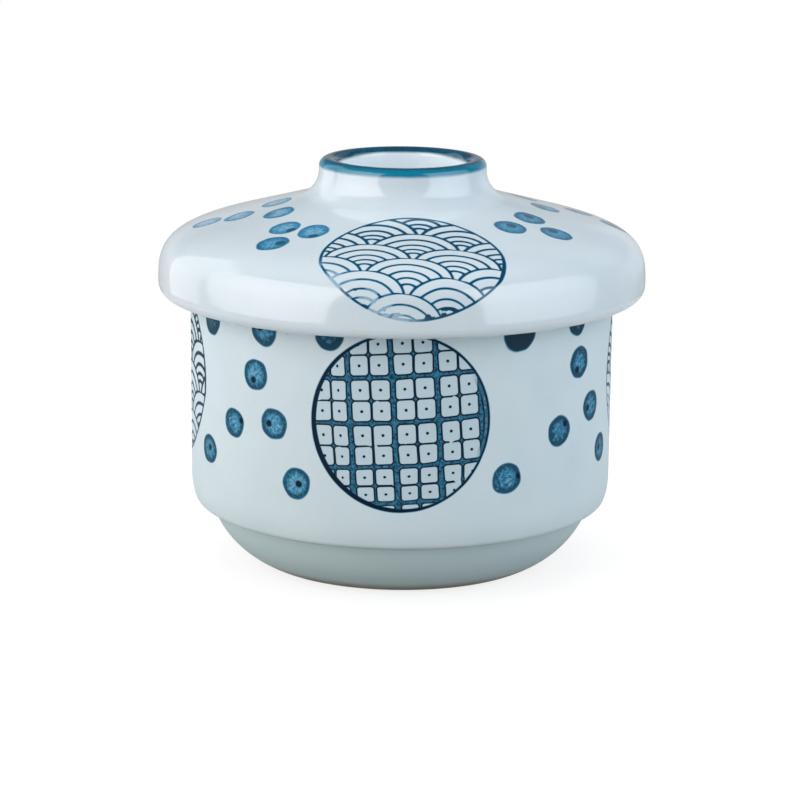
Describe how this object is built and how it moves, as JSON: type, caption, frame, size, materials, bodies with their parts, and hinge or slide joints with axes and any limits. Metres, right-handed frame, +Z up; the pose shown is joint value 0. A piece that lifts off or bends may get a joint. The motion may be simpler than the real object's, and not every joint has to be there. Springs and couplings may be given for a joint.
{
  "type": "small tureen",
  "caption": "Small straight-sided lidded porcelain cup with a stepped base, a foot ring and a domed lid with a hollow ring to hold it by, for one serving of steamed custard.",
  "frame": {"origin": "on the cup's axis, in the plane the foot ring stands on", "axes": "+Z up along the cup's axis, -Y towards the side with the chequered roundel"},
  "size_m": [0.094, 0.094, 0.0781],
  "materials": {
    "cup_glaze": "satin",
    "lid_glaze": "gloss"
  },
  "bodies": {
    "cup": {"cup": "cup_glaze"},
    "lid": {"lid": "lid_glaze"}
  },
  "joints": [
    {"name": "lid_lift", "type": "slide", "parent": "cup", "child": "lid", "axis": [0, 0, 1], "range_m": [0, 0.08]}
  ]
}
